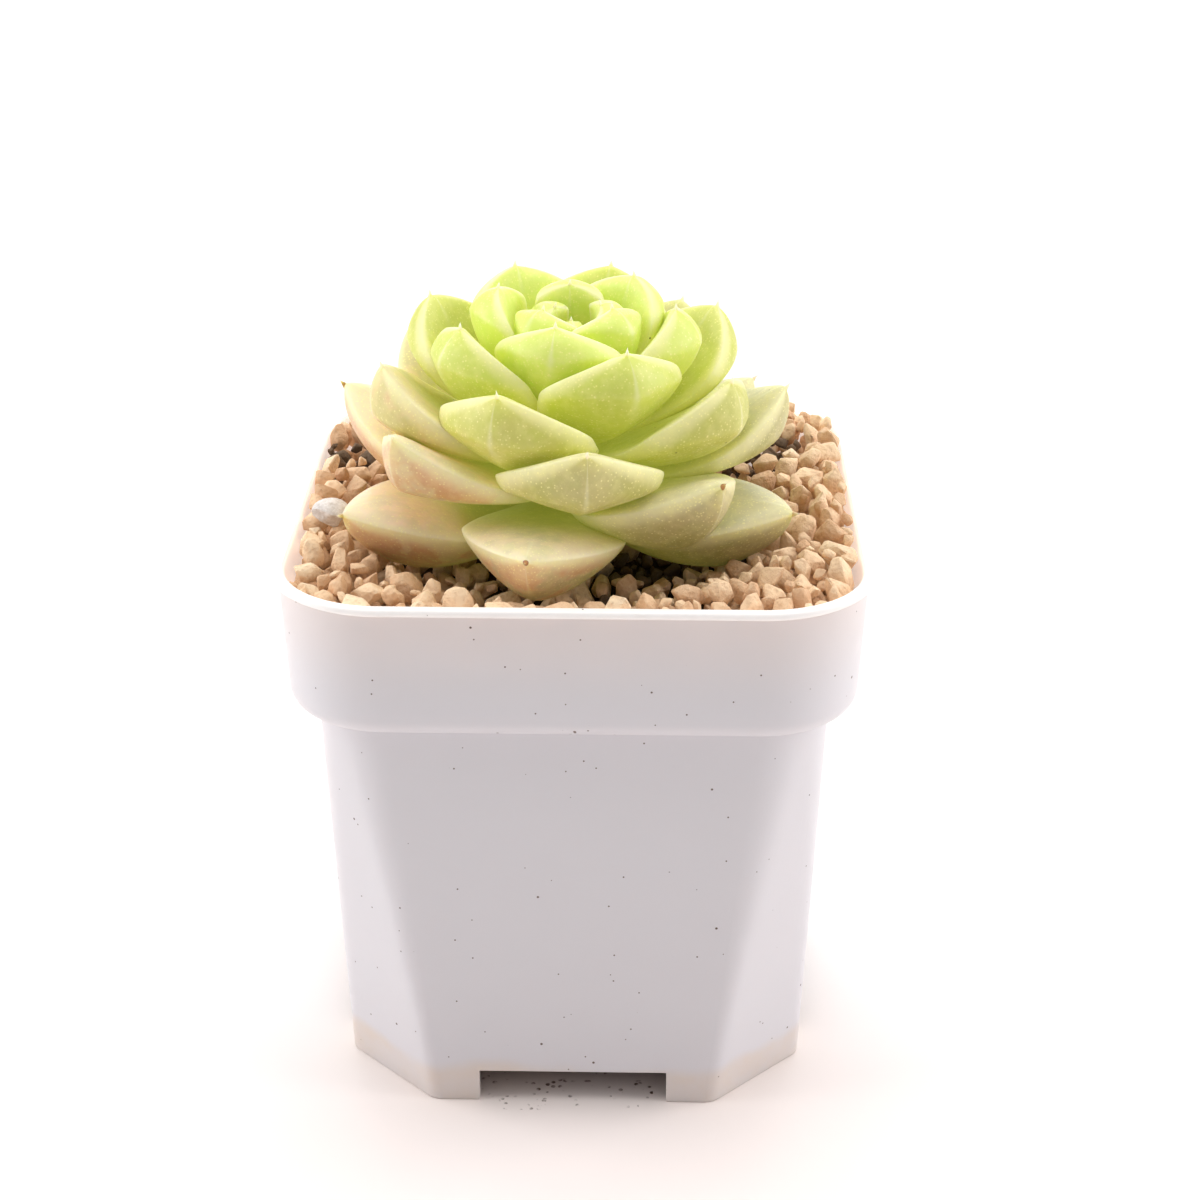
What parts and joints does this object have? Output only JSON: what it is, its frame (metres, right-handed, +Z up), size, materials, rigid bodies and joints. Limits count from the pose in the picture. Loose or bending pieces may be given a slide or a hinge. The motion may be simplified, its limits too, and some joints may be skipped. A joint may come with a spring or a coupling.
{
  "type": "potted succulent",
  "caption": "Rosette succulent with thick keeled leaves, growing in clay grit and soil in a square white plastic nursery pot with a banded rim.",
  "frame": {"origin": "on the resting plane, under the middle of the pot", "axes": "+Z up, out of the pot's mouth; -Y towards the front of the pot; +X to the right seen from the front"},
  "size_m": [0.07, 0.07, 0.0983],
  "materials": {
    "white_plastic": "satin moulded white plastic, slightly translucent",
    "soil": "dark matt potting mix",
    "clay_grit": "dry orange-tan baked clay, dusty and matt",
    "pumice": "pale porous matt",
    "stem": "green-brown, matt",
    "leaf_heart": "waxy translucent lime green skin",
    "leaf_middle": "waxy translucent yellow-green skin",
    "leaf_outer": "waxy yellow-green skin fading to peach and tan at the tip"
  },
  "bodies": {
    "root": {"pot": "white_plastic", "potting_soil": "soil", "top_dressing": "clay_grit", "pumice_grain": "pumice", "stem": "stem", "leaf_02": "leaf_heart", "leaf_03": "leaf_heart", "leaf_04": "leaf_heart", "leaf_05": "leaf_heart", "leaf_06": "leaf_heart", "leaf_07": "leaf_heart", "leaf_08": "leaf_heart", "leaf_09": "leaf_heart", "leaf_10": "leaf_heart", "leaf_11": "leaf_heart", "leaf_12": "leaf_middle", "leaf_13": "leaf_middle", "leaf_14": "leaf_middle", "leaf_15": "leaf_middle", "leaf_16": "leaf_middle", "leaf_17": "leaf_middle", "leaf_18": "leaf_middle", "leaf_19": "leaf_middle", "leaf_20": "leaf_middle", "leaf_21": "leaf_middle", "leaf_22": "leaf_middle", "leaf_23": "leaf_middle", "leaf_24": "leaf_middle", "leaf_25": "leaf_outer", "leaf_26": "leaf_outer", "leaf_27": "leaf_outer", "leaf_28": "leaf_outer", "leaf_29": "leaf_outer", "leaf_30": "leaf_outer", "leaf_31": "leaf_outer", "leaf_32": "leaf_outer", "leaf_33": "leaf_outer", "leaf_34": "leaf_outer", "leaf_35": "leaf_outer"}
  },
  "joints": []
}
